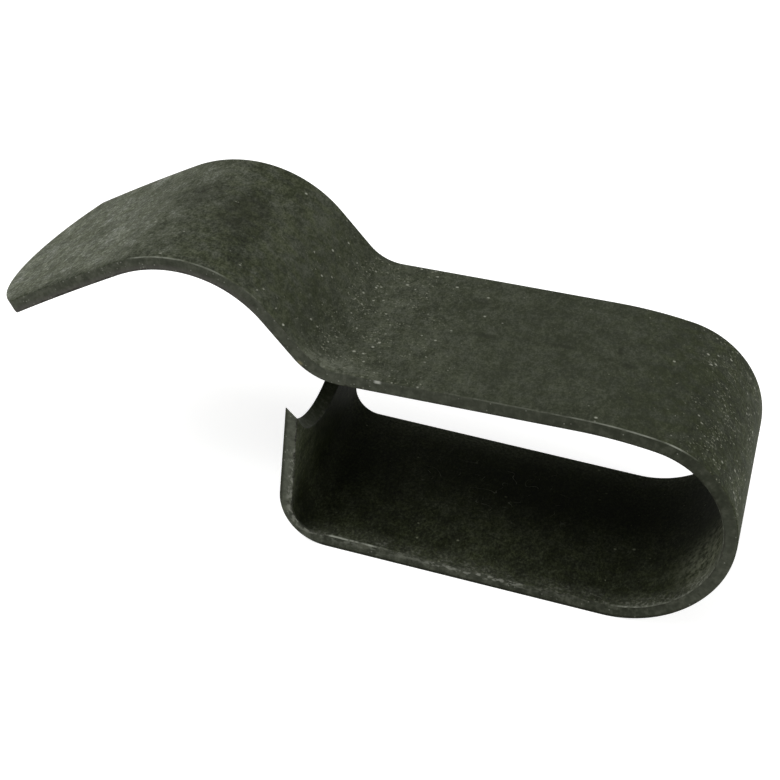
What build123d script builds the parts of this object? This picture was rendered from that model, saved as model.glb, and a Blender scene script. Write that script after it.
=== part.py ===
# Spring clip: one flat strip of spring steel, sheared to length and folded into a closed loop with a lever tail.
#
# From end to end the strip makes a notched end wall, a toe bend, a flat base, a round nose, a top leaf,
# a kick-up bend, and a hump that runs out into the tail. The mouth of the loop lies between the tips of
# the end wall and the underside of the top leaf.
#
# +X runs from the tail to the nose, +Y across the strip, +Z up. The origin is the centre of the flat
# underside of the base. The side view is drawn from the end wall to the tail, so the left hand face of
# the strip is its inner face, inside the loop, and the right hand face is its outer one.
from build123d import *

import os
from dataclasses import dataclass
from math import degrees, radians, sqrt, tan

# Strip
STRIP_WIDTH = 20.0
STRIP_THICKNESS = 1.2
DIE_ROLL = 0.3  # rounding that the shear leaves along the outer face
EDGE_BREAK = 0.1  # the same along the inner face, which came off sharper

# End wall and toe
WALL_HEIGHT = 13.0  # from the outside corner of the toe to the tips
WALL_LEAN = 1.0  # degrees that the wall leans outwards
TOE_OUTER_RADIUS = 4.5
TOE_INNER_RADIUS = 2.4  # with these two radii the strip draws thin in the bend
NOTCH_RADIUS = 12.3  # at the outer face, over the whole width of the strip
NOTCH_BEVEL = 0.6  # how much larger the notch's radius is at the inner face

# Base
BASE_LENGTH = 28.3  # from the outside corner of the toe to the start of the nose

# Nose, top leaf and tail: the radius of a bend is that of its hollow side
NOSE_LOWER_RADIUS = 8.4
NOSE_LOWER_TURN = 62.0
NOSE_UPPER_RADIUS = 7.6
NOSE_UPPER_TURN = 111.0
SHOULDER_RADIUS = 39.4
SHOULDER_TURN = 9.5
LEAF_LENGTH = 19.3
KICK_RADIUS = 4.3
KICK_TURN = 45.5
RISE_LENGTH = 4.0
HUMP_RADIUS = 10.2
HUMP_TURN = 74.5
TAIL_RADIUS = 200.0
TAIL_LENGTH = 14.3  # along the inner face, to the crown of the rounded end
TAIL_END_RADIUS = 15.0

# Worked out from the sizes above
HALF_WIDTH = STRIP_WIDTH / 2
TOE_TURN = 90.0 - WALL_LEAN
TOE_SLOPE = tan(radians(TOE_TURN) / 2)  # times a corner's radius, the distance at which its round starts
CORNER_X = -(BASE_LENGTH + TOE_OUTER_RADIUS * TOE_SLOPE) / 2  # centres the flat underside on the origin
CUT_CLEARANCE = STRIP_THICKNESS  # how far a cutter runs past the strip
ON_LINE = 0.001  # an edge whose middle is this close to a line lies on it


@dataclass(frozen=True)
class Run:
    """A straight stretch of the strip."""

    length: float


@dataclass(frozen=True)
class Bend:
    """A bent stretch: its radius on each face of the strip, and its turn in degrees, positive to the left."""

    inner_radius: float
    outer_radius: float
    turn: float


def even_bend(hollow_radius, turn):
    """A bend over which the strip keeps its thickness."""
    full_radius = hollow_radius + STRIP_THICKNESS
    if turn > 0:
        return Bend(hollow_radius, full_radius, turn)
    return Bend(full_radius, hollow_radius, turn)


def stretches(inner):
    """The stretches of the inner or the outer face, from the tips of the end wall to the tail's end."""
    setback = TOE_SLOPE * (STRIP_THICKNESS + TOE_INNER_RADIUS if inner else TOE_OUTER_RADIUS)
    return (
        Run(WALL_HEIGHT - setback),
        Bend(TOE_INNER_RADIUS, TOE_OUTER_RADIUS, TOE_TURN),
        Run(BASE_LENGTH - setback),
        even_bend(NOSE_LOWER_RADIUS, NOSE_LOWER_TURN),
        even_bend(NOSE_UPPER_RADIUS, NOSE_UPPER_TURN),
        even_bend(SHOULDER_RADIUS, SHOULDER_TURN),
        Run(LEAF_LENGTH),
        even_bend(KICK_RADIUS, -KICK_TURN),
        Run(RISE_LENGTH),
        even_bend(HUMP_RADIUS, HUMP_TURN),
        even_bend(TAIL_RADIUS, degrees(TAIL_LENGTH / TAIL_RADIUS)),
    )


def wall_point(height, depth):
    """The point at this height up the end wall, and this deep from its outer face, in side view."""
    up = Vector(0, 1).rotate(Axis.Z, WALL_LEAN)
    inwards = Vector(1, 0).rotate(Axis.Z, WALL_LEAN)
    return Vector(CORNER_X, 0) + up * height + inwards * depth


def face_line(inner):
    """One face of the strip in side view, as a chain of tangent edges."""
    depth = STRIP_THICKNESS if inner else 0.0
    point = wall_point(WALL_HEIGHT, depth)
    tangent = (wall_point(0.0, depth) - point).normalized()
    edges = []
    for stretch in stretches(inner):
        if isinstance(stretch, Run):
            edge = Line(point, point + tangent * stretch.length)
        else:
            radius = stretch.inner_radius if inner else stretch.outer_radius
            edge = JernArc(point, tangent, radius, stretch.turn)
        edges.append(edge)
        point, tangent = edge @ 1, edge % 1
    return edges


def square_ended_strip(inner_line, outer_line):
    """The folded strip at its full width, before its ends are shaped and its edges rounded."""
    wall_end = Line(inner_line[0] @ 0, outer_line[0] @ 0)
    tail_end = Line(inner_line[-1] @ 1, outer_line[-1] @ 1)
    side_view = make_face([*inner_line, *outer_line, wall_end, tail_end])
    return extrude(Plane.XZ * side_view, HALF_WIDTH, both=True)


def chord_distance(radius):
    """How far from an arc's centre its chord over the strip's width lies."""
    return sqrt(radius**2 - HALF_WIDTH**2)


def tail_end_cutter(inner_line):
    """What lies outside the rounded end of the tail: a block less a cylinder."""
    crown, along = inner_line[-1] @ 1, inner_line[-1] % 1
    crown, along = Plane.XZ.from_local_coords(crown), Plane.XZ.from_local_coords(along)
    crown_plane = Plane(origin=crown, x_dir=along, z_dir=along.cross(Vector(0, 1, 0)))
    sagitta = TAIL_END_RADIUS - chord_distance(TAIL_END_RADIUS)
    depth = 2 * (STRIP_THICKNESS + CUT_CLEARANCE)
    block = Pos(-sagitta, 0, 0) * Box(
        sagitta + CUT_CLEARANCE, STRIP_WIDTH + CUT_CLEARANCE, depth, align=(Align.MIN, Align.CENTER, Align.CENTER)
    )
    kept = Pos(-TAIL_END_RADIUS, 0, 0) * Cylinder(TAIL_END_RADIUS, depth)
    return crown_plane * (block - kept)


def notch_cutter():
    """The foot of a cone, which leaves the end wall two sharp tips and a bevelled edge between them."""
    start = Plane.XZ.from_local_coords(wall_point(WALL_HEIGHT, -CUT_CLEARANCE))
    end = Plane.XZ.from_local_coords(wall_point(WALL_HEIGHT, STRIP_THICKNESS + CUT_CLEARANCE))
    down = Plane.XZ.from_local_coords(wall_point(0, 0) - wall_point(WALL_HEIGHT, 0))
    depth = (end - start).length
    growth = NOTCH_BEVEL * CUT_CLEARANCE / STRIP_THICKNESS
    cone = Pos(-chord_distance(NOTCH_RADIUS), 0, 0) * Cone(
        NOTCH_RADIUS - growth,
        NOTCH_RADIUS + NOTCH_BEVEL + growth,
        depth,
        align=(Align.CENTER, Align.CENTER, Align.MIN),
    )
    foot = Pos(-CUT_CLEARANCE, 0, 0) * Box(
        NOTCH_RADIUS + CUT_CLEARANCE, STRIP_WIDTH + CUT_CLEARANCE, depth, align=(Align.MIN, Align.CENTER, Align.MIN)
    )
    return Plane(origin=start, x_dir=down, z_dir=end - start) * (cone & foot)


def long_edges(solid, line):
    """The solid's edges that run along one face of the strip, on both sides."""
    sides = [Plane.XZ.offset(y) * Wire(line) for y in (-HALF_WIDTH, HALF_WIDTH)]
    return [edge for edge in solid.edges() if min(side.distance_to(edge @ 0.5) for side in sides) < ON_LINE]


def spring_clip():
    """The whole clip."""
    inner_line, outer_line = face_line(inner=True), face_line(inner=False)
    clip = square_ended_strip(inner_line, outer_line)
    clip = fillet(long_edges(clip, outer_line), DIE_ROLL)
    clip = fillet(long_edges(clip, inner_line), EDGE_BREAK)
    return clip - tail_end_cutter(inner_line) - notch_cutter()


def main():
    os.makedirs("parts", exist_ok=True)
    export_step(spring_clip(), "parts/spring_clip.step")


main()
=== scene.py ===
import logging
from dataclasses import dataclass, field
from enum import Enum
from functools import partial
from math import cos, degrees, radians, sin, sqrt, tan
from typing import Callable

import bmesh
import bpy
import numpy as np
from mathutils import Matrix, Vector
from mathutils.kdtree import KDTree


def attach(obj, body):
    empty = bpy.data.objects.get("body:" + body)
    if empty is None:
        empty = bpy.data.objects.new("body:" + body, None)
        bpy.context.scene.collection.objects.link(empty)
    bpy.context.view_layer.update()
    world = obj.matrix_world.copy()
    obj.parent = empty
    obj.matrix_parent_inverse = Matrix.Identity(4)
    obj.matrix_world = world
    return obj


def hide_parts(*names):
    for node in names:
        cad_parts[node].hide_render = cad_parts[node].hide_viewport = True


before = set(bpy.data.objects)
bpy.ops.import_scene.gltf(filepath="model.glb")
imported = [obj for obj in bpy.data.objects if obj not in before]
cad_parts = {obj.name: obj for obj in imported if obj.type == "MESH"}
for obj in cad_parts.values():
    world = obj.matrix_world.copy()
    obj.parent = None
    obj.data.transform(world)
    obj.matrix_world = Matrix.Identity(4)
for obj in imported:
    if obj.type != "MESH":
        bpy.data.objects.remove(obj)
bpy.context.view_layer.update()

MM = 0.001  # metres
TOUCHING = 1e-6  # metres, within which a point lies on a line
MERGED = 1e-7  # metres, within which two points are one
PLACE = "strip_mm"  # attribute of the clip's points: along the strip, across it and down from its outer face
MIX_FACTOR, MIX_A, MIX_B, MIX_RESULT = 0, 6, 7, 2  # sockets of a colour Mix node
WHITE = "#ffffff"

Socket = bpy.types.NodeSocket
Colour = tuple[float, float, float, float]

log = logging.getLogger("spring_clip")


def linear(hex_colour: str) -> Colour:
    """Turns an sRGB hex colour into a linear one.

    Args:
        hex_colour: Six hex digits after a hash.

    Returns:
        Red, green, blue and a full alpha.
    """
    channels = [int(hex_colour[i : i + 2], 16) / 255 for i in (1, 3, 5)]
    # the sRGB curve is straight near black and a power above that
    red, green, blue = (c / 12.92 if c <= 0.04045 else ((c + 0.055) / 1.055) ** 2.4 for c in channels)
    return red, green, blue, 1.0


def add_node(
    tree: bpy.types.NodeTree,
    kind: str,
    sockets: dict[str | int, object] | None = None,
    output: str | int = 0,
    stops: dict[float, Colour] | None = None,
    **settings: str,
) -> Socket:
    """Adds a node with its settings and links.

    Args:
        tree: The material's or the world's node tree.
        kind: The node's class name.
        sockets: What its inputs hold, by socket name or number: a value, or the output that feeds it.
        output: The output that is wanted.
        stops: A ramp's linear colours by their places on it, in rising order.
        settings: The node's own properties.

    Returns:
        The wanted output.
    """
    node = tree.nodes.new(kind)
    for name, setting in settings.items():
        setattr(node, name, setting)
    for key, value in (sockets or {}).items():
        if isinstance(value, Socket):
            tree.links.new(value, node.inputs[key])
        else:
            node.inputs[key].default_value = value
    for number, (place, colour) in enumerate((stops or {}).items()):
        elements = node.color_ramp.elements
        element = elements[number] if number < len(elements) else elements.new(place)
        element.position = place
        element.color = colour
    return node.outputs[output]


class Surface(Enum):
    """The two surfaces of the strip, by their material slots."""

    ROLLED_FACE = 0
    SHEARED_EDGE = 1


class Blend(Enum):
    """How a coat of colour meets what is under it."""

    COVER = "MIX"
    TINT = "MULTIPLY"


@dataclass(frozen=True)
class Coat:
    """A coat of colour.

    Attributes:
        colour: In sRGB hex.
        share: How much of it shows.
        blend: How it meets what is under it.
    """

    colour: str
    share: Socket
    blend: Blend = Blend.COVER


@dataclass(frozen=True)
class Patch:
    """A soft-edged patch at one place on the strip, in millimetres.

    Attributes:
        along: Its middle, along the strip.
        across: Its middle, across the strip.
        length: Half its length.
        width: Half its width.
    """

    along: float
    across: float
    length: float
    width: float


@dataclass(frozen=True)
class Stretch:
    """One stretch of the folded strip.

    Attributes:
        length: Of a straight stretch, along the inner face.
        radius: Of a bend, on its hollow side.
        turn: Of a bend, in degrees, positive where it closes on the inner face.
        rows: How many rows of faces it is divided into.
    """

    length: float = 0.0
    radius: float = 0.0
    turn: float = 0.0
    rows: int = 1


class StripLine:
    """The middle line of the folded strip in side view, closely sampled."""

    SAMPLE = 0.05 * MM  # between two samples

    def __init__(
        self,
        start: tuple[float, float],
        heading: float,
        thickness: float,
        stretches: list[Stretch],
    ) -> None:
        """Walks the stretches from one end of the strip to the other.

        Args:
            start: X and Z of the first end, on the middle line.
            heading: The first direction, in radians from +X towards +Z.
            thickness: The strip's thickness.
            stretches: The stretches in order.
        """
        self.thickness = thickness
        point = np.array(start)
        points, headings, marks = [point[None]], [np.array([heading])], [0.0]
        for stretch in stretches:
            turn = radians(stretch.turn)
            radius = stretch.radius + thickness / 2
            length = stretch.length or radius * abs(turn)
            shares = np.linspace(0, 1, max(2, int(length / self.SAMPLE)))[1:, None]
            if turn:
                side = radius if turn > 0 else -radius
                centre = point + side * np.array([-sin(heading), cos(heading)])
                angles = heading + shares * turn
                new = centre + side * np.hstack([np.sin(angles), -np.cos(angles)])
                headings.append(angles[:, 0])
            else:
                new = point + shares * length * np.array([cos(heading), sin(heading)])
                headings.append(np.full(len(shares), heading))
            points.append(new)
            point, heading = new[-1], headings[-1][-1]
            marks.append(marks[-1] + length)
        self.points = np.vstack(points)
        self.headings = np.concatenate(headings)
        self.marks = marks
        steps = np.linalg.norm(np.diff(self.points, axis=0), axis=1)
        self.along = np.concatenate([[0.0], np.cumsum(steps)])
        self.tree = KDTree(len(self.points))
        for number, (x, z) in enumerate(self.points):
            self.tree.insert((x, 0.0, z), number)
        self.tree.balance()

    def locate(self, places: np.ndarray) -> tuple[np.ndarray, np.ndarray]:
        """Reads where points lie on the strip.

        Args:
            places: Points in space, one to a row.

        Returns:
            How far along the strip each point is, and how deep below its outer face.
        """
        nearest = np.array([self.tree.find((x, 0.0, z))[1] for x, _, z in places])
        offset = places[:, [0, 2]] - self.points[nearest]
        heading = self.headings[nearest]
        along = self.along[nearest] + offset[:, 0] * np.cos(heading) + offset[:, 1] * np.sin(heading)
        outwards = offset[:, 0] * np.sin(heading) - offset[:, 1] * np.cos(heading)
        return along, self.thickness / 2 - outwards

    def place(self, along: np.ndarray, depth: np.ndarray) -> tuple[np.ndarray, np.ndarray]:
        """Puts points on the strip.

        Args:
            along: How far along the strip each point is.
            depth: How deep below its outer face each point is.

        Returns:
            The points' X and Z.
        """
        x = np.interp(along, self.along, self.points[:, 0])
        z = np.interp(along, self.along, self.points[:, 1])
        heading = np.interp(along, self.along, self.headings)
        outwards = self.thickness / 2 - depth
        return x + outwards * np.sin(heading), z - outwards * np.cos(heading)


class StripPaint:
    """A material whose patterns are laid in millimetres of the strip's own length, width and depth."""

    FINER_LUMPS = 0.6  # how strong each finer noise is beside the coarser one
    SMALLEST_GRAIN = 0.35  # its size beside the largest
    GRAIN_CORE = 0.3  # share of a grain's radius over which it is full
    PATCH_CORE = 0.2  # share of a patch's reach over which it is full

    def __init__(self, name: str, width: float, thickness: float) -> None:
        """Starts the material and reads where each point lies on the strip.

        Args:
            name: The material's name.
            width: The strip's width in millimetres.
            thickness: The strip's thickness in millimetres.
        """
        self.material = bpy.data.materials.new(name)
        self.material.use_nodes = True
        self.shader = self.material.node_tree.nodes["Principled BSDF"]
        self.add = partial(add_node, self.material.node_tree)
        self.place = self.add("ShaderNodeAttribute", output="Vector", attribute_name=PLACE)
        self.along, self.across, self.depth = self.add("ShaderNodeSeparateXYZ", {0: self.place}).node.outputs
        side = self.add("ShaderNodeMath", {0: self.across}, operation="ABSOLUTE")
        self.inward = self.add("ShaderNodeMath", {0: width / 2, 1: side}, operation="SUBTRACT")
        rising = self.add("ShaderNodeMath", {0: thickness, 1: self.depth}, operation="SUBTRACT")
        self.outer_corner = self.add("ShaderNodeMath", {0: self.inward, 1: self.depth}, operation="ADD")
        self.inner_corner = self.add("ShaderNodeMath", {0: self.inward, 1: rising}, operation="ADD")
        middle = thickness / 2
        self.outer = self.add("ShaderNodeMath", {0: self.depth, 1: middle}, operation="LESS_THAN")
        self.inner = self.add("ShaderNodeMath", {0: self.depth, 1: middle}, operation="GREATER_THAN")

    def lumps(
        self,
        size: float,
        start: float | Socket,
        end: float | Socket,
        detail: float = 2.0,
        stretch: tuple[float, float, float] = (1.0, 1.0, 1.0),
        shift: float = 0.0,
        low: float = 0.0,
        high: float = 1.0,
    ) -> Socket:
        """Clouds, lumps or streaks of one size.

        Args:
            size: How far apart they are, in millimetres.
            start: The noise level, about 0.3 to 0.7, at which they start.
            end: The noise level at which they are full.
            detail: How many times finer ones are added.
            stretch: How much longer they are along, across and through the strip.
            shift: What tells two patterns of one size apart.
            low: The value before the start.
            high: The value past the end.

        Returns:
            The pattern.
        """
        scale = tuple(1 / (size * longer) for longer in stretch)
        where = self.add("ShaderNodeMapping", {0: self.place, "Location": (shift,) * 3, "Scale": scale})
        sockets = {"Vector": where, "Scale": 1.0, "Detail": detail, "Roughness": self.FINER_LUMPS}
        noise = self.add("ShaderNodeTexNoise", sockets)
        levels = {"Value": noise, "From Min": start, "From Max": end, "To Min": low, "To Max": high}
        return self.add("ShaderNodeMapRange", levels, interpolation_type="SMOOTHSTEP")

    def zones(self, levels: dict[float, float]) -> Socket:
        """A strength that changes along the strip.

        Args:
            levels: The strength, 0 to 1, by millimetres along the strip, in rising order.

        Returns:
            The strength.
        """
        length = max(levels)
        share = self.add("ShaderNodeMath", {0: self.along, 1: length}, operation="DIVIDE")
        stops = {place / length: (level, level, level, 1.0) for place, level in levels.items()}
        return self.add("ShaderNodeValToRGB", {0: share}, stops=stops)

    def near(self, distance: Socket, full: float, gone: float) -> Socket:
        """A band beside an edge.

        Args:
            distance: The distance from the edge.
            full: Up to where the band is full.
            gone: Where it has faded out.

        Returns:
            1 in the band and 0 off it.
        """
        levels = {"Value": distance, "From Min": full, "From Max": gone, "To Min": 1.0, "To Max": 0.0}
        return self.add("ShaderNodeMapRange", levels, interpolation_type="SMOOTHSTEP")

    def grains(self, spacing: float, radius: float, density: float | Socket) -> Socket:
        """Round grains of uneven size, strewn at random.

        Args:
            spacing: How far apart they are where no cell is empty, in millimetres.
            radius: Of the largest, as a share of the spacing.
            density: The share of the cells that hold one.

        Returns:
            1 on a grain and 0 off it.
        """
        cells = self.add("ShaderNodeTexVoronoi", {"Vector": self.place, "Scale": 1 / spacing}, "Distance")
        chance = self.add("ShaderNodeSeparateColor", {0: cells.node.outputs["Color"]})
        kept = self.add("ShaderNodeMath", {0: chance, 1: density}, operation="LESS_THAN")
        levels = {"Value": chance.node.outputs["Green"], "To Min": self.SMALLEST_GRAIN, "To Max": 1.0}
        share = self.add("ShaderNodeMapRange", levels)
        away = self.add("ShaderNodeMath", {0: cells, 1: share}, operation="DIVIDE")
        return self.overlap(kept, self.near(away, radius * self.GRAIN_CORE, radius), share)

    def patch(self, spot: Patch) -> Socket:
        """A soft-edged patch.

        Args:
            spot: Its place and size.

        Returns:
            1 at its middle, falling to 0 at its rim.
        """
        flat = self.add("ShaderNodeCombineXYZ", {0: self.along, 1: self.across})
        scale = (1 / spot.length, 1 / spot.width, 1.0)
        shift = (-spot.along / spot.length, -spot.across / spot.width, 0.0)
        where = self.add("ShaderNodeMapping", {0: flat, "Location": shift, "Scale": scale})
        away = self.add("ShaderNodeVectorMath", {0: where}, "Value", operation="LENGTH")
        return self.near(away, self.PATCH_CORE, 1.0)

    def patches(self, first: Patch, *others: Patch) -> Socket:
        """Several soft-edged patches.

        Args:
            first: One patch.
            others: The rest.

        Returns:
            The strongest of them at each point.
        """
        strongest = self.patch(first)
        for other in others:
            strongest = self.add("ShaderNodeMath", {0: strongest, 1: self.patch(other)}, operation="MAXIMUM")
        return strongest

    def overlap(self, first: Socket, *others: float | Socket) -> Socket:
        """Where several patterns meet.

        Args:
            first: One pattern.
            others: The rest, or shares by which it is weakened.

        Returns:
            Their product.
        """
        for other in others:
            first = self.add("ShaderNodeMath", {0: first, 1: other}, operation="MULTIPLY")
        return first

    def coat(self, colour: Socket, coats: list[Coat]) -> Socket:
        """Lays coats over a colour, one after another.

        Args:
            colour: The colour underneath.
            coats: From the lowest to the topmost.

        Returns:
            The colour on top.
        """
        for coat in coats:
            sockets = {MIX_FACTOR: coat.share, MIX_A: colour, MIX_B: linear(coat.colour)}
            blend = coat.blend.value
            colour = self.add("ShaderNodeMix", sockets, MIX_RESULT, data_type="RGBA", blend_type=blend)
        return colour

    def finish(
        self,
        colour: Socket,
        relief: Socket,
        height: float,
        roughness: float,
        specular: float,
    ) -> None:
        """Joins the patterns to the shader.

        Args:
            colour: The surface's colour.
            relief: What stands up from it.
            height: How high that stands, in millimetres.
            roughness: How dull the surface is.
            specular: How much it mirrors.
        """
        bump = self.add("ShaderNodeBump", {"Height": relief, "Distance": height * MM})
        for name, output in (("Base Color", colour), ("Normal", bump)):
            self.material.node_tree.links.new(output, self.shader.inputs[name])
        self.shader.inputs["Roughness"].default_value = roughness
        self.shader.inputs["Specular IOR Level"].default_value = specular


@dataclass(frozen=True)
class OxideFinish:
    """Cold-rolled spring steel, hardened, black-oxided and oiled.

    The oxide is a thin matt skin. It is dark olive grey and cloudy, peppered with fine pale dust that gathers
    in the bends, on the nose also standing for a painted sheen, and rubbed paler along the tail, where it is
    handled. A painted highlight runs along its corners. The top leaf has small dark knocks. The inner face is
    darkened by painted shade, deepest inside the loop and in the toe; there lint and hair-fine scratches
    show, and the near side is scuffed.
    """

    name: str = "oiled_black_oxide_spring_steel"
    roughness: float = 0.6
    specular: float = 0.01
    cloud_size: float = 6.0  # mm, where the oil lies thicker
    blotch_size: float = 1.3  # mm, uneven oxide
    grain_size: float = 0.33  # mm, the texture of the rolled skin, drawn as coarse as it needs to show
    speckle_size: float = 0.16  # mm, the same, finer
    dust_size: float = 0.25  # mm
    dust_share: float = 0.85  # how far a speck hides the oxide
    crumb_spacing: float = 0.42  # mm, between the coarser grains of the dust
    crumb_radius: float = 0.5  # of the spacing
    crumb_share: float = 0.36  # of the places that hold one where the dust is thickest
    relief: float = 0.012  # mm

    def tone(self, paint: StripPaint) -> Socket:
        """Mixes clouds, blotches and grain.

        Args:
            paint: The material.

        Returns:
            How pale the oxide is.
        """
        tone = paint.zones(
            {0: 0.3, 46: 0.3, 50: 0.35, 57: 0.295, 60: 0.275, 63: 0.3, 77: 0.35, 82: 0.375, 87: 0.385,
             90.5: 0.43, 93.5: 0.345, 96.5: 0.35, 100: 0.42, 104: 0.33, 108: 0.36, 111: 0.31, 127: 0.31}
        )
        uneven = paint.zones(
            {0: 1.0, 30: 1.1, 44: 1.0, 50: 0.6, 54: 0.6, 58: 0.75, 64: 0.5, 78: 0.5, 84: 0.6, 90: 0.7,
             98: 0.55, 104: 0.9, 113: 0.9, 118: 1.0, 127: 0.9}
        )
        strengths = {
            self.cloud_size: 0.18,
            self.blotch_size: 0.28,
            self.grain_size: 0.38,
            self.speckle_size: 0.4,
        }
        for size, strength in strengths.items():
            lumps = paint.lumps(
                size,
                start=0.2,
                end=0.8,
                detail=3,
                stretch=(1, 1.6, 1),
                shift=size,
                low=-strength / 2,
                high=strength / 2,
            )
            tone = paint.add("ShaderNodeMath", {0: lumps, 1: uneven, 2: tone}, operation="MULTIPLY_ADD")
        paler = 0.325  # by which full rubbing lifts the tone
        lifted = {0: self.rubbed(paint), 1: paler, 2: tone}
        return paint.add("ShaderNodeMath", lifted, operation="MULTIPLY_ADD")

    def rubbed(self, paint: StripPaint) -> Socket:
        """Where handling has rubbed the tail pale.

        Args:
            paint: The material.

        Returns:
            How far it is rubbed.
        """
        look = {"stretch": (2, 1, 1), "shift": 5.0, "low": 0.85, "high": 1.12}
        streaks = paint.lumps(0.5, start=0.25, end=0.7, detail=3, **look)
        near_rim = {"Value": paint.across, "From Min": -9.7, "From Max": -8.8, "To Min": 0.5, "To Max": 1.0}
        return paint.overlap(
            paint.zones({0: 0.0, 105: 0.0, 108: 0.25, 110: 0.6, 114: 0.95, 127: 1.0}),
            streaks,
            paint.add("ShaderNodeMapRange", near_rim),
            paint.outer,
        )

    def dust_and_sheen(self, paint: StripPaint) -> tuple[Socket, Socket]:
        """Strews fine dust and a few coarser grains over both faces; on the nose bend, where the dust lies
        thickest, it is also a painted sheen along the nose's outline.

        Args:
            paint: The material.

        Returns:
            Where the fine dust lies, and where the grains lie.
        """
        spread = paint.overlap(
            # most dust at 55.5 to 61 mm, on the nose bend, where it is also a painted sheen along the nose's
            # outline
            paint.zones(
                {0: 0.2, 30: 0.25, 44: 0.4, 50: 0.4, 53: 0.45, 55.5: 1.0, 61: 1.0, 65.5: 0.3, 78: 0.15,
                 84: 0.6, 88: 0.9, 93: 1.0, 97: 0.4, 104: 0.25, 112: 0.3, 118: 0.35, 127: 0.2}
            ),
            paint.lumps(2.2, start=0.35, end=0.65, detail=3, shift=9.0, low=0.35),
        )
        rare = 0.74  # noise level at which dust starts where it is thinnest
        easing = -0.2  # change of that level where it is thickest
        softness = 0.2  # noise levels from no dust to full dust
        start = paint.add("ShaderNodeMath", {0: spread, 1: easing, 2: rare}, operation="MULTIPLY_ADD")
        end = paint.add("ShaderNodeMath", {0: start, 1: softness}, operation="ADD")
        fine = paint.lumps(self.dust_size, start, end, detail=1, shift=15.0)
        density = paint.overlap(spread, spread, self.crumb_share)
        crumbs = paint.grains(self.crumb_spacing, self.crumb_radius, density)
        return paint.overlap(fine, self.dust_share), crumbs

    def edge_highlights(self, paint: StripPaint) -> Socket:
        """Painted highlight: a bright line along the strip's corners, standing for light caught on their
        rounding.

        Args:
            paint: The material.

        Returns:
            How bright they are.
        """
        broken = paint.lumps(0.7, start=0.38, end=0.6, detail=3, stretch=(3, 1, 1), shift=4.0, low=0.2)
        outside = paint.zones(
            {0: 0.1, 40: 0.1, 56: 0.0, 61: 0.0, 63: 0.8, 66: 0.7, 70: 0.4, 76: 0.2, 84: 0.0, 99: 0.0,
             101: 0.25, 104: 0.4, 105: 0.25, 107: 0.7, 110.2: 0.7, 110.8: 0.0, 127: 0.0}
        )
        inside = paint.zones(
            {0: 0.0, 14.9: 0.1, 15.4: 0.9, 19: 0.9, 20: 0.1, 39: 0.0, 41: 0.5, 44: 0.2, 127: 0.0}
        )
        dotted = paint.lumps(0.4, start=0.4, end=0.6, stretch=(2, 1, 1), shift=8.0, low=0.25)
        fading = {"Value": paint.across, "From Min": -9.0, "From Max": 9.0, "To Min": 1.0, "To Max": 0.3}
        near_side = paint.add("ShaderNodeMapRange", fading)
        outer_band = paint.near(paint.outer_corner, full=0.1, gone=0.14)
        inner_band = paint.near(paint.inner_corner, full=0.08, gone=0.2)
        outer_line = paint.overlap(outer_band, broken, outside, near_side)
        inner_line = paint.overlap(inner_band, dotted, inside, near_side)
        return paint.add("ShaderNodeMath", {0: outer_line, 1: inner_line}, operation="MAXIMUM")

    def scuffed(self, paint: StripPaint) -> Socket:
        """Whitish scuffs inside the loop, beside its near edge.

        Args:
            paint: The material.

        Returns:
            How strong they are.
        """
        fading = {"Value": paint.across, "From Min": -7.0, "From Max": 7.0, "To Min": 1.0, "To Max": 0.45}
        beside = paint.overlap(
            paint.near(paint.inward, full=0.1, gone=2.4),
            paint.add("ShaderNodeMapRange", fading),
        )
        close = paint.zones(
            {0: 0.1, 8: 0.2, 12: 0.0, 15: 0.4, 26: 0.45, 32: 0.3, 42: 0.6, 48: 1.0, 56: 0.7, 60: 0.0}
        )
        patches = paint.lumps(1.8, start=0.4, end=0.6, shift=40.0, low=0.4)
        lumps = paint.lumps(0.3, start=0.46, end=0.66, shift=12.0, low=0.25)
        return paint.overlap(beside, close, patches, lumps, paint.inner)

    def hairs(self, paint: StripPaint) -> Socket:
        """Hair-fine curling scratches, most of them inside the loop.

        Args:
            paint: The material.

        Returns:
            How strong they are.
        """
        bend = paint.lumps(2.6, start=0.0, end=1.0, detail=1, shift=20.0)
        fineness = 0.006  # how close to its middle level the noise draws a hair
        apart = paint.add("ShaderNodeMath", {0: bend, 1: 0.5, 2: fineness}, operation="COMPARE")
        where = paint.patches(Patch(27.0, 2.5, 12.0, 7.5), Patch(101.0, 2.0, 5.0, 7.0))
        return paint.overlap(apart, where, paint.lumps(1.3, start=0.5, end=0.58, shift=31.0))

    def knocked(self, paint: StripPaint) -> Socket:
        """Small dark knocks on the top leaf.

        Args:
            paint: The material.

        Returns:
            How dark they are.
        """
        knocks = paint.patches(
            Patch(82.1, 5.7, 1.1, 0.9),
            Patch(80.8, 0.1, 1.7, 0.6),
            Patch(74.3, 0.7, 2.0, 0.45),
            Patch(69.5, 1.6, 0.4, 1.3),
            Patch(68.6, -0.4, 1.0, 0.5),
        )
        lumps = paint.lumps(0.6, start=0.32, end=0.52, detail=3, shift=27.0, low=0.4)
        return paint.overlap(knocks, 0.75, lumps, paint.outer)

    def smeared(self, paint: StripPaint) -> Socket:
        """A pale smear in the kick-up bend, along its near edge.

        Args:
            paint: The material.

        Returns:
            How strong it is.
        """
        return paint.overlap(
            paint.near(paint.across, full=-9.4, gone=-7.6),
            paint.zones({0: 0.0, 86: 0.0, 89: 0.45, 93: 0.45, 96: 0.0}),
            paint.lumps(0.5, start=0.38, end=0.65, detail=3, stretch=(2, 1, 1), shift=2.5),
            paint.outer,
        )

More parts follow.
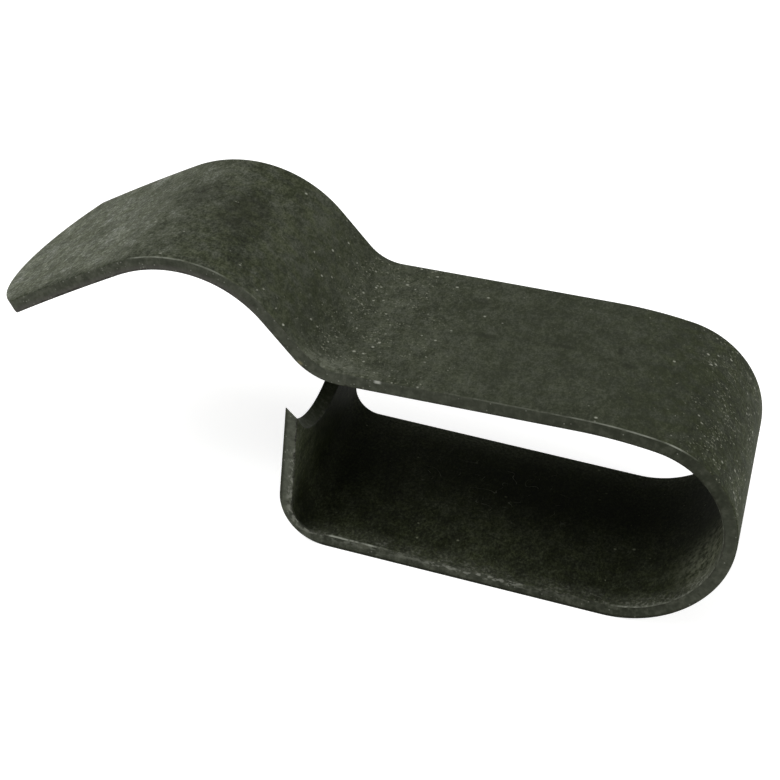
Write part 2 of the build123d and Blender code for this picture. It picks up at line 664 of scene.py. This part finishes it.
    def lint(self, paint: StripPaint) -> Socket:
        """Lint and grit that lie on the inside of the base.

        Args:
            paint: The material.

        Returns:
            How thick they lie.
        """
        return paint.overlap(
            paint.near(paint.across, full=10.0, gone=6.8),
            paint.zones({0: 0.0, 13: 0.0, 17: 1.0, 24: 1.0, 31: 0.4, 44: 0.1, 50: 0.0}),
            paint.lumps(0.3, start=0.4, end=0.66, detail=3, shift=23.0, low=0.15),
            paint.inner,
        )

    def build(self, width: float, thickness: float) -> bpy.types.Material:
        """Makes the material.

        Args:
            width: The strip's width in millimetres.
            thickness: The strip's thickness in millimetres.

        Returns:
            The material.
        """
        paint = StripPaint(self.name, width, thickness)
        tone = self.tone(paint)
        stops = {0.0: "#1f211b", 0.3: "#34372d", 0.65: "#53564b", 1.0: "#858880"}
        linear_stops = {place: linear(hex_colour) for place, hex_colour in stops.items()}
        colour = paint.add("ShaderNodeValToRGB", {0: tone}, stops=linear_stops)
        fine, coarse = self.dust_and_sheen(paint)
        olive = paint.overlap(
            paint.lumps(1.1, start=0.35, end=0.65, shift=11.3),
            paint.zones(
                {0: 1.0, 64: 1.0, 70: 0.4, 93: 0.45, 97: 1.0, 105: 1.0, 109: 0.35, 116: 0.5, 127: 0.6}
            ),
        )
        stain = paint.overlap(
            paint.patches(Patch(105.0, 0.5, 3.0, 6.0), Patch(109.0, 3.0, 2.5, 3.5)),
            0.6,
            paint.lumps(1.6, start=0.3, end=0.7, detail=3, low=0.35),
        )
        # painted shade inside the loop: over the end wall and toe, and over the far half of the base and nose
        deep_shade = paint.patches(Patch(10.0, 1.5, 13.0, 10.0), Patch(34.0, 4.0, 20.0, 6.5))
        # painted shade in the toe's inner crease, on its near side
        toe_shade = paint.patch(Patch(11.0, -8.5, 4.5, 4.5))
        settled = paint.overlap(
            paint.patch(Patch(50.0, -5.5, 6.5, 6.0)),
            paint.lumps(0.5, start=0.3, end=0.7, detail=3, shift=17.0),
            paint.inner,
        )
        colour = paint.coat(
            colour,
            [
                Coat("#f6f9e6", olive, Blend.TINT),
                Coat("#22231d", stain),
                Coat("#282a22", self.knocked(paint)),
                # pale dust; on the nose it is also a painted sheen
                Coat("#7e8071", fine),
                Coat("#8f9184", coarse),
                Coat("#74776a", self.smeared(paint)),
                # painted shade: the whole inner face is tinted darker
                Coat("#bfc2b4", paint.inner, Blend.TINT),
                # painted shade, deeper far inside the loop
                Coat("#999d8c", paint.overlap(deep_shade, paint.inner), Blend.TINT),
                # painted shade in the toe's crease
                Coat("#989c8e", paint.overlap(toe_shade, paint.inner), Blend.TINT),
                Coat("#666958", settled),
                Coat("#565a4b", self.lint(paint)),
                Coat("#74766b", self.scuffed(paint)),
                Coat("#77796c", paint.overlap(self.hairs(paint), 0.42)),
                # painted highlight along the corners, brightest on the near side
                Coat("#8c8f84", self.edge_highlights(paint)),
            ],
        )
        paint.finish(colour, tone, self.relief, self.roughness, self.specular)
        return paint.material


@dataclass(frozen=True)
class ShearedFinish:
    """The edge that the shear leaves on spring steel, oxided with the rest.

    It takes less oxide than the rolled faces, so it is greyer and paler, most of all on the end wall and at
    the tip. It has fine marks straight through the strip, and a torn, darker lip along the inner face.
    """

    name: str = "sheared_spring_steel_edge"
    roughness: float = 0.55
    specular: float = 0.02
    mark_size: float = 0.16  # mm, the shear's own marks
    blotch_size: float = 0.6  # mm
    grit_spacing: float = 0.26  # mm, between pale grains
    grit_radius: float = 0.45  # of the spacing
    relief: float = 0.012  # mm

    def tone(self, paint: StripPaint) -> Socket:
        """Mixes the shear's marks and blotches.

        Args:
            paint: The material.

        Returns:
            How pale the edge is.
        """
        marks = paint.lumps(self.mark_size, start=0.2, end=0.8, stretch=(1, 30, 9), low=-0.1, high=0.1)
        look = {"shift": 3.1, "low": -0.45, "high": 0.45}
        blotches = paint.lumps(self.blotch_size, start=0.2, end=0.8, detail=4, **look)
        uneven = paint.add("ShaderNodeMath", {0: marks, 1: blotches}, operation="ADD")
        mottled = paint.zones(
            {0: 1.0, 16: 1.0, 40: 0.6, 54: 0.4, 66: 0.4, 76: 0.4, 90: 0.6, 106: 0.6, 127: 1.0}
        )
        middle = 0.5  # the ramp's middle colour, about which they vary
        return paint.add("ShaderNodeMath", {0: uneven, 1: mottled, 2: middle}, operation="MULTIPLY_ADD")

    def torn(self, paint: StripPaint) -> Socket:
        """The torn lip along the inner face.

        Args:
            paint: The material.

        Returns:
            How dark it is.
        """
        ragged = paint.lumps(0.7, start=0.3, end=0.7, detail=3, shift=1.7, low=-0.12, high=0.12)
        level = paint.add("ShaderNodeMath", {0: paint.depth, 1: ragged}, operation="ADD")
        lip = paint.add("ShaderNodeMapRange", {"Value": level, "From Min": 1.02, "From Max": 1.16})
        return paint.overlap(lip, paint.zones({0: 0.9, 13: 0.7, 18: 0.2, 60: 0.5, 127: 0.6}))

    def build(self, width: float, thickness: float) -> bpy.types.Material:
        """Makes the material.

        Args:
            width: The strip's width in millimetres.
            thickness: The strip's thickness in millimetres.

        Returns:
            The material.
        """
        paint = StripPaint(self.name, width, thickness)
        tone = self.tone(paint)
        stops = {0.22: linear("#20221a"), 0.5: linear("#34372d"), 0.78: linear("#4e5045")}
        colour = paint.add("ShaderNodeValToRGB", {0: tone}, stops=stops)
        long_edge = paint.near(paint.inward, full=0.2, gone=0.5)
        bare = paint.overlap(
            paint.zones(
                {0: 0.6, 6: 0.8, 12: 0.45, 16: 0.25, 28: 0.25, 34: 0.1, 42: 0.08, 48: 0.35, 53: 0.3, 58: 0.04,
                 70: 0.12, 80: 0.25, 88: 0.35, 91: 0.42, 95: 0.35, 101: 0.4, 105: 0.3, 118: 0.4, 124: 0.6,
                 127: 1.0}
            ),
            long_edge,
            paint.lumps(0.6, start=0.3, end=0.7, detail=3, shift=6.6, low=0.55),
        )
        # painted shade: a dark line along the rolled rim of the long edges on the wall, toe and base, where
        # the base meets the floor
        rolled = paint.overlap(
            paint.near(paint.depth, full=0.15, gone=0.42),
            paint.zones({0: 0.6, 14: 0.7, 20: 0.9, 40: 0.9, 48: 0.0, 127: 0.0}),
            long_edge,
        )
        browned = paint.overlap(
            paint.add("ShaderNodeMapRange", {"Value": paint.depth, "From Min": 0.6, "From Max": 0.95}),
            paint.zones({0: 0.0, 96: 0.0, 103: 0.45, 127: 0.45}),
        )
        strewn = paint.zones(
            {0: 0.2, 12: 0.3, 15: 0.15, 30: 0.1, 52: 0.02, 60: 0.02, 90: 0.15, 104: 0.2, 127: 0.1}
        )
        grit = paint.overlap(paint.grains(self.grit_spacing, self.grit_radius, strewn), long_edge)
        crumbs = paint.overlap(
            paint.lumps(0.34, start=0.46, end=0.6, shift=7.7, stretch=(1.8, 1, 1)),
            paint.zones(
                {0: 0.0, 3: 0.0, 5: 0.8, 12: 0.6, 15: 0.3, 23: 0.3, 25: 0.8, 31: 0.8, 33: 0.2, 40: 0.0,
                 127: 0.0}
            ),
            paint.near(paint.depth, full=0.95, gone=0.5),
        )
        # the end wall's cut face in dark olive: partly the cut's own greenish colour and partly painted shade
        notch = paint.overlap(
            paint.near(paint.inward, full=0.5, gone=0.2),
            paint.zones({0: 0.88, 8.2: 0.88, 9: 0.7, 20: 0.0, 127: 0.0}),
            paint.lumps(0.4, start=0.35, end=0.65, detail=3, shift=4.4, low=0.5),
        )
        rust_spot = paint.overlap(
            paint.patch(Patch(93.8, -10.0, 0.35, 0.3)),
            paint.near(paint.depth, full=1.0, gone=0.75),
        )
        # a small pale spot on the near edge, at its rolled rim
        pale_rim_spot = paint.overlap(
            paint.patch(Patch(87.3, -10.0, 0.4, 0.3)),
            paint.near(paint.depth, full=0.28, gone=0.4),
        )
        colour = paint.coat(
            colour,
            [
                Coat("#64675c", bare),
                # painted shade along the rolled rim
                Coat("#25271f", rolled),
                Coat("#5e5a58", browned),
                Coat("#85877c", grit),
                Coat("#96988d", paint.overlap(crumbs, long_edge, 0.7)),
                # dark olive on the cut face, partly painted shade
                Coat("#2b3020", notch),
                Coat("#77745a", rust_spot),
                Coat("#24221f", self.torn(paint)),
                Coat("#a2a49b", pale_rim_spot),
            ],
        )
        paint.finish(colour, tone, self.relief, self.roughness, self.specular)
        return paint.material


@dataclass
class SpringClip:
    """The whole clip: one strip, folded into a loop with a lever tail. Its turns and leans are in degrees."""

    END_NORMAL = 0.7  # share of a face's normal along the strip past which it belongs to an end
    EDGE_NORMAL = 0.9  # the same across the strip, for a long edge
    SMOOTH_BELOW = 40.0  # degrees between two faces

    width: float = 20.0 * MM
    thickness: float = 1.2 * MM
    die_roll: float = 0.1 * MM  # rounding of the long edges along the outer face
    edge_break: float = 0.1 * MM  # the same along the inner face
    corner_segments: int = 5
    wall_height: float = 13.0 * MM
    wall_lean: float = 1.0
    wall_skew: float = 0.86
    wall_shift: float = 0.11 * MM
    wall_rim_break: float = 0.05 * MM
    toe_outer_radius: float = 4.5 * MM
    toe_inner_radius: float = 2.4 * MM
    notch_radius: float = 12.3 * MM
    notch_bevel: float = 0.6 * MM
    base_length: float = 28.3 * MM
    nose_lower_radius: float = 8.4 * MM
    nose_lower_turn: float = 62.0
    nose_upper_radius: float = 7.6 * MM
    nose_upper_turn: float = 111.0
    shoulder_radius: float = 39.4 * MM
    shoulder_turn: float = 9.5
    leaf_length: float = 19.3 * MM
    kick_radius: float = 4.3 * MM
    kick_turn: float = 45.5
    rise_length: float = 4.0 * MM
    hump_radius: float = 10.2 * MM
    hump_turn: float = 74.5
    tail_length: float = 14.3 * MM
    tail_radius: float = 200.0 * MM
    tail_end_radius: float = 15.0 * MM
    tail_rim_break: float = 0.1 * MM
    rim_segments: int = 2
    roll_width: float = 0.6 * MM  # of the rim along the outer face that the shear rolls down
    roll_depth: float = 0.02 * MM
    cells_across: int = 64
    cells_through: int = 3
    piece: bpy.types.Object | None = field(default=None, init=False)
    toe_slope: float = field(init=False)  # times a corner's radius, the distance at which its round starts
    corner_x: float = field(init=False)  # the outside corner of the toe
    base_start: float = field(init=False)
    rear: list[Stretch] = field(init=False)  # from the base to the tips
    front: list[Stretch] = field(init=False)  # from the base to the tail's end
    line: StripLine = field(init=False)
    wall_cap: set[int] = field(default_factory=set, init=False)  # points of the end wall's cut face
    tail_cap: set[int] = field(default_factory=set, init=False)  # the same at the tail

    def __post_init__(self) -> None:
        """Works out the strip's middle line from the sizes."""
        toe_turn = 90.0 - self.wall_lean
        self.toe_slope = tan(radians(toe_turn) / 2)
        setback = self.toe_slope * (self.thickness + self.toe_inner_radius)
        self.corner_x = -(self.base_length + self.toe_outer_radius * self.toe_slope) / 2
        self.base_start = self.corner_x + setback
        self.rear = [
            Stretch(radius=self.toe_inner_radius, turn=toe_turn, rows=22),
            Stretch(length=self.wall_height - setback, rows=26),
        ]
        tail_turn = degrees(self.tail_length / self.tail_radius)
        self.front = [
            Stretch(length=self.base_length - setback, rows=56),
            Stretch(radius=self.nose_lower_radius, turn=self.nose_lower_turn, rows=26),
            Stretch(radius=self.nose_upper_radius, turn=self.nose_upper_turn, rows=42),
            Stretch(radius=self.shoulder_radius, turn=self.shoulder_turn, rows=16),
            Stretch(length=self.leaf_length, rows=44),
            Stretch(radius=self.kick_radius, turn=-self.kick_turn, rows=16),
            Stretch(length=self.rise_length, rows=10),
            Stretch(radius=self.hump_radius, turn=self.hump_turn, rows=38),
            Stretch(radius=self.tail_radius, turn=tail_turn, rows=36),
        ]
        lean = radians(self.wall_lean)
        tips = (
            self.corner_x - self.wall_height * sin(lean) + self.thickness / 2 * cos(lean),
            self.wall_height * cos(lean) + self.thickness / 2 * sin(lean),
        )
        stretches = [*reversed(self.rear), *self.front]
        self.line = StripLine(tips, lean - radians(90), self.thickness, stretches)

    def lay_section(self) -> None:
        """Lays the strip's cross-section at the start of the base, its long edges rounded by the shear."""
        bpy.ops.object.select_all(action="DESELECT")
        bpy.ops.mesh.primitive_grid_add(
            x_subdivisions=self.cells_through,
            y_subdivisions=self.cells_across,
            size=1.0,
            location=(0, 0, 0),
            rotation=(0, 0, 0),
        )
        self.piece = bpy.context.object
        self.piece.name = self.piece.data.name = "spring_clip_strip"
        bpy.ops.object.mode_set(mode="EDIT")
        bpy.ops.transform.resize(value=(self.thickness, self.width, 1.0), center_override=(0, 0, 0))
        bpy.ops.transform.rotate(value=radians(-90), orient_axis="Y", center_override=(0, 0, 0))
        bpy.ops.transform.translate(value=(self.base_start, 0, self.thickness / 2))
        for height, radius in ((0.0, self.die_roll), (self.thickness, self.edge_break)):
            self.select_points(
                lambda co: abs(co.z - height) < TOUCHING and abs(abs(co.y) - self.width / 2) < TOUCHING
            )
            bpy.ops.mesh.bevel(offset=radius, segments=self.corner_segments, affect="VERTICES")

    def select_points(self, wanted: Callable[[Vector], bool]) -> None:
        """Selects the points of the mesh in edit mode that lie where they are wanted.

        Args:
            wanted: Says of a point's place whether it is wanted.
        """
        bpy.ops.mesh.select_all(action="DESELECT")
        bpy.ops.mesh.select_mode(type="VERT")
        mesh = bmesh.from_edit_mesh(self.piece.data)
        for vert in mesh.verts:
            vert.select_set(wanted(vert.co))
        mesh.select_flush_mode()
        bmesh.update_edit_mesh(self.piece.data)

    def carry(self, stretches: list[Stretch], heading: float, side: int) -> None:
        """Extrudes and spins the selected section along stretches.

        Args:
            stretches: The stretches in the order in which they are made.
            heading: The first direction, in radians from +X towards +Z.
            side: 1 where the inner face is on the left of the way, and -1 where it is on the right.
        """
        inner = Vector((self.base_start, 0, self.thickness))
        for stretch in stretches:
            way = Vector((cos(heading), 0, sin(heading)))
            if stretch.turn:
                turn = radians(stretch.turn) * side
                radius = stretch.radius if stretch.turn > 0 else stretch.radius + self.thickness
                towards = Vector((-way.z, 0, way.x)) * (1 if turn > 0 else -1)
                centre = inner + towards * radius
                axis = (0, 1, 0) if turn > 0 else (0, -1, 0)
                bpy.ops.mesh.spin(steps=stretch.rows, angle=abs(turn), center=centre, axis=axis)
                inner = centre + Matrix.Rotation(-turn, 3, "Y") @ (inner - centre)
                heading += turn
            else:
                bpy.ops.mesh.extrude_repeat(steps=stretch.rows, offset=way * stretch.length / stretch.rows)
                inner = inner + way * stretch.length

    def fold(self) -> None:
        """Carries the section along the whole strip, first to the tail and then back to the end wall."""
        bpy.ops.mesh.select_all(action="SELECT")
        self.carry(self.front, 0.0, 1)
        self.select_points(
            lambda co: abs(co.x - self.base_start) < TOUCHING and co.z < self.thickness + TOUCHING
        )
        self.carry(self.rear, radians(180), -1)
        bpy.ops.mesh.select_all(action="SELECT")
        bpy.ops.mesh.remove_doubles(threshold=MERGED)
        bpy.ops.mesh.normals_make_consistent(inside=False)
        bpy.ops.object.mode_set(mode="OBJECT")

    def read_points(self) -> np.ndarray:
        """Reads the places of the mesh's points.

        Returns:
            Their places, one to a row.
        """
        places = np.empty(len(self.piece.data.vertices) * 3)
        self.piece.data.vertices.foreach_get("co", places)
        return places.reshape(-1, 3)

    def toe_thickness(self, along: np.ndarray) -> np.ndarray:
        """How thick the strip is, which draws thin round the toe.

        Args:
            along: Places along the strip.

        Returns:
            The strip's thickness there.
        """
        x, z = self.line.place(along, np.full_like(along, self.thickness))
        heading = np.interp(along, self.line.along, self.line.headings)
        outwards = np.stack([np.sin(heading), -np.cos(heading)], axis=1)
        reach = self.toe_outer_radius
        arm = np.stack([x - (self.corner_x + reach * self.toe_slope), z - reach], axis=1)
        across = (arm * outwards).sum(axis=1)
        hit = -across + np.sqrt(np.maximum(across**2 - (arm**2).sum(axis=1) + reach**2, 0))
        overlap = (reach - self.thickness - self.toe_inner_radius) * self.toe_slope
        wall_end, toe_end = self.line.marks[1:3]
        near = (along > wall_end - overlap) & (along < toe_end + overlap)
        return np.where(near, np.minimum(hit, self.thickness), self.thickness)

    def shape_ends(self) -> None:
        """Draws the toe thin, notches the end wall, rounds the tail's end and rolls the outer rim down."""
        places = self.read_points()
        along, depth = self.line.locate(places)
        across = places[:, 1]
        wall_end, toe_end = self.line.marks[1:3]
        tail_start, tail_end = self.line.marks[-2:]
        self.wall_cap = set(np.flatnonzero(along < MERGED).tolist())
        self.tail_cap = set(np.flatnonzero(along > tail_end - MERGED).tolist())
        depth = self.thickness - (self.thickness - depth) * self.toe_thickness(along) / self.thickness
        half = self.width / 2
        notch = self.notch_radius + self.notch_bevel * depth / self.thickness
        chord = sqrt(self.notch_radius**2 - half**2)
        cut = np.sqrt(notch**2 - across**2) - chord
        wall_share = np.clip(1 - along / wall_end, 0, 1)
        along = along + wall_share * cut
        sagitta = self.tail_end_radius - np.sqrt(self.tail_end_radius**2 - across**2)
        tail_share = np.clip((along - tail_start) / (tail_end - tail_start), 0, 1)
        along = along - tail_share * sagitta
        rim = np.minimum(half - np.abs(across), np.minimum(along - cut, tail_end - sagitta - along))
        rolled = np.clip(1 - rim / self.roll_width, 0, 1) ** 2
        depth = depth + rolled * self.roll_depth * (1 - depth / self.thickness)
        places[:, 0], places[:, 2] = self.line.place(along, depth)
        skewed = np.clip(1 - along / toe_end, 0, 1)
        skewed = skewed * skewed * (3 - 2 * skewed)
        places[:, 0] -= skewed * (self.wall_shift + across * tan(radians(self.wall_skew)))
        self.piece.data.vertices.foreach_set("co", places.ravel())
        self.piece.data.update()

    def break_rims(self) -> None:
        """Takes the sharpness off the rims of the two ends."""
        bpy.ops.object.mode_set(mode="EDIT")
        for cap, width in ((self.wall_cap, self.wall_rim_break), (self.tail_cap, self.tail_rim_break)):
            bpy.ops.mesh.select_all(action="DESELECT")
            bpy.ops.mesh.select_mode(type="EDGE")
            mesh = bmesh.from_edit_mesh(self.piece.data)
            for edge in mesh.edges:
                ends = sum(all(vert.index in cap for vert in face.verts) for face in edge.link_faces)
                edge.select_set(ends == 1)
            bmesh.update_edit_mesh(self.piece.data)
            bpy.ops.mesh.bevel(offset=width, segments=self.rim_segments, affect="EDGES", clamp_overlap=True)
        bpy.ops.object.mode_set(mode="OBJECT")

    def build(self) -> None:
        """Models the clip."""
        self.lay_section()
        self.fold()
        self.shape_ends()
        self.break_rims()

    def mark_places(self) -> None:
        """Writes where each point lies on the strip into the attribute that the finishes read."""
        places = self.read_points()
        along, depth = self.line.locate(places)
        strip = np.stack([along, places[:, 1], depth], axis=1) / MM
        attribute = self.piece.data.attributes.new(PLACE, "FLOAT_VECTOR", "POINT")
        attribute.data.foreach_set("vector", strip.ravel())

    def dress(self) -> None:
        """Gives the faces of the clip their finishes."""
        mesh = self.piece.data
        self.mark_places()
        mesh.materials.clear()
        for finish in (OxideFinish(), ShearedFinish()):
            mesh.materials.append(finish.build(self.width / MM, self.thickness / MM))
        for polygon in mesh.polygons:
            x, _, z = polygon.center
            heading = self.line.headings[self.line.tree.find((x, 0.0, z))[1]]
            end = abs(polygon.normal.x * cos(heading) + polygon.normal.z * sin(heading)) > self.END_NORMAL
            sheared = end or abs(polygon.normal.y) > self.EDGE_NORMAL
            polygon.material_index = (Surface.SHEARED_EDGE if sheared else Surface.ROLLED_FACE).value
        bpy.ops.object.select_all(action="DESELECT")
        self.piece.select_set(True)
        bpy.context.view_layer.objects.active = self.piece
        bpy.ops.object.shade_smooth_by_angle(angle=radians(self.SMOOTH_BELOW))

    def hand_over(self) -> None:
        """Hangs the piece on the root body and hides the CAD part that it replaces."""
        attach(self.piece, "root")
        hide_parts("spring_clip")


@dataclass(frozen=True)
class SoftLamp:
    """A square softbox that looks at the clip.

    Attributes:
        name: What the lamp is called.
        azimuth: Degrees round from +X towards +Y.
        elevation: Degrees above the floor.
        power: In watts.
        size: Of one side, in metres.
        distance: From its aim, in metres.
        aim: The point that it looks at.
    """

    name: str
    azimuth: float
    elevation: float
    power: float
    size: float = 0.3
    distance: float = 0.5
    aim: tuple[float, float, float] = (-10 * MM, 0.0, 12 * MM)

    def build(self) -> None:
        """Makes the lamp."""
        data = bpy.data.lights.new(self.name, "AREA")
        data.energy = self.power
        data.size = self.size
        lamp = bpy.data.objects.new(self.name, data)
        bpy.context.scene.collection.objects.link(lamp)
        around, up = radians(self.azimuth), radians(self.elevation)
        towards = Vector((cos(around) * cos(up), sin(around) * cos(up), sin(up)))
        turn = towards.to_track_quat("Z", "Y").to_matrix().to_4x4()
        lamp.matrix_world = Matrix.Translation(Vector(self.aim) + towards * self.distance) @ turn


@dataclass(frozen=True)
class PaperFinish:
    """A matt paper sweep. It lights the clip as pale grey paper does, and shows almost white."""

    name: str = "pale_paper_sweep"
    colour: str = "#c8c8c6"
    roughness: float = 0.9
    lift: float = 0.78  # glow that only the background's rays see


@dataclass
class Studio:
    """A pale floor, white surroundings and soft lamps."""

    lamps: tuple[SoftLamp, ...] = (
        SoftLamp("right_softbox", 345, 20, 2.0),
        SoftLamp("left_softbox", 195, 40, 1.65),
        SoftLamp("front_left_softbox", 225, 55, 0.75),
        SoftLamp("front_softbox", 270, 60, 0.25),
        SoftLamp("back_softbox", 90, 65, 0.3),
    )
    paper: PaperFinish = PaperFinish()
    floor_size: float = 2.0  # metres

    def seen_rays(self, tree: bpy.types.NodeTree) -> Socket:
        """Tells the rays that show a background from those that light the clip.

        Args:
            tree: The node tree that asks.

        Returns:
            1 for a camera, glossy or transmission ray and 0 for any other.
        """
        rays = add_node(tree, "ShaderNodeLightPath").node.outputs
        seen = rays["Is Camera Ray"]
        for name in ("Is Glossy Ray", "Is Transmission Ray"):
            seen = add_node(tree, "ShaderNodeMath", {0: seen, 1: rays[name]}, operation="MAXIMUM")
        return seen

    def lay_floor(self) -> None:
        """Makes the floor."""
        bpy.ops.object.select_all(action="DESELECT")
        bpy.ops.mesh.primitive_plane_add(size=self.floor_size)
        floor = bpy.context.object
        floor.name = "floor"
        material = bpy.data.materials.new(self.paper.name)
        material.use_nodes = True
        tree = material.node_tree
        shader = tree.nodes["Principled BSDF"]
        shader.inputs["Base Color"].default_value = linear(self.paper.colour)
        shader.inputs["Roughness"].default_value = self.paper.roughness
        shader.inputs["Emission Color"].default_value = linear(WHITE)
        glow = {0: self.seen_rays(tree), 1: self.paper.lift}
        lift = add_node(tree, "ShaderNodeMath", glow, operation="MULTIPLY")
        tree.links.new(lift, shader.inputs["Emission Strength"])
        floor.data.materials.append(material)

    def surround(self) -> None:
        """Makes surroundings that show white and light nothing."""
        world = bpy.data.worlds.new("white_surroundings")
        bpy.context.scene.world = world
        world.use_nodes = True
        background = world.node_tree.nodes["Background"]
        background.inputs["Color"].default_value = linear(WHITE)
        world.node_tree.links.new(self.seen_rays(world.node_tree), background.inputs["Strength"])

    def build(self) -> None:
        """Makes the floor, the surroundings and the lamps."""
        self.lay_floor()
        log.info("floor: %g m wide", self.floor_size)
        self.surround()
        for lamp in self.lamps:
            lamp.build()
            log.info("%s: %g W", lamp.name, lamp.power)


@dataclass(frozen=True)
class Viewpoint:
    """The camera, a little above the clip and in front of its open side.

    Attributes:
        aim: The point that it looks at.
        distance: From that point.
        yaw: Degrees that it is turned to the left of +Y.
        pitch: Degrees that it looks down.
        roll: Degrees that it is tilted to the left.
        lens: Focal length in mm.
        film_width: In mm.
        nearest: The nearest that it sees.
    """

    aim: tuple[float, float, float] = (-10.068 * MM, 0.0, 10.445 * MM)
    distance: float = 161.03 * MM
    yaw: float = 11.5053
    pitch: float = 32.1803
    roll: float = 6.9292
    lens: float = 86.0145
    film_width: float = 36.0
    nearest: float = 10 * MM

    def build(self) -> None:
        """Makes the camera and looks through it."""
        data = bpy.data.cameras.new("viewpoint")
        data.sensor_width = self.film_width
        data.lens = self.lens
        data.clip_start = self.nearest
        camera = bpy.data.objects.new("viewpoint", data)
        bpy.context.scene.collection.objects.link(camera)
        turn = (
            Matrix.Rotation(radians(self.yaw), 4, "Z")
            @ Matrix.Rotation(radians(90 - self.pitch), 4, "X")
            @ Matrix.Rotation(radians(self.roll), 4, "Z")
        )
        away = turn @ Vector((0, 0, self.distance))
        camera.matrix_world = Matrix.Translation(Vector(self.aim) + away) @ turn
        bpy.context.scene.camera = camera


def main() -> None:
    """Builds the clip, the studio round it and the camera."""
    logging.basicConfig(level=logging.INFO, format="%(message)s")
    clip = SpringClip()
    clip.build()
    clip.dress()
    clip.hand_over()
    log.info("clip: %d faces", len(clip.piece.data.polygons))
    Studio().build()
    Viewpoint().build()
    log.info("camera: in place")
    bpy.context.scene.view_settings.view_transform = "Standard"


if __name__ == "__main__":
    main()
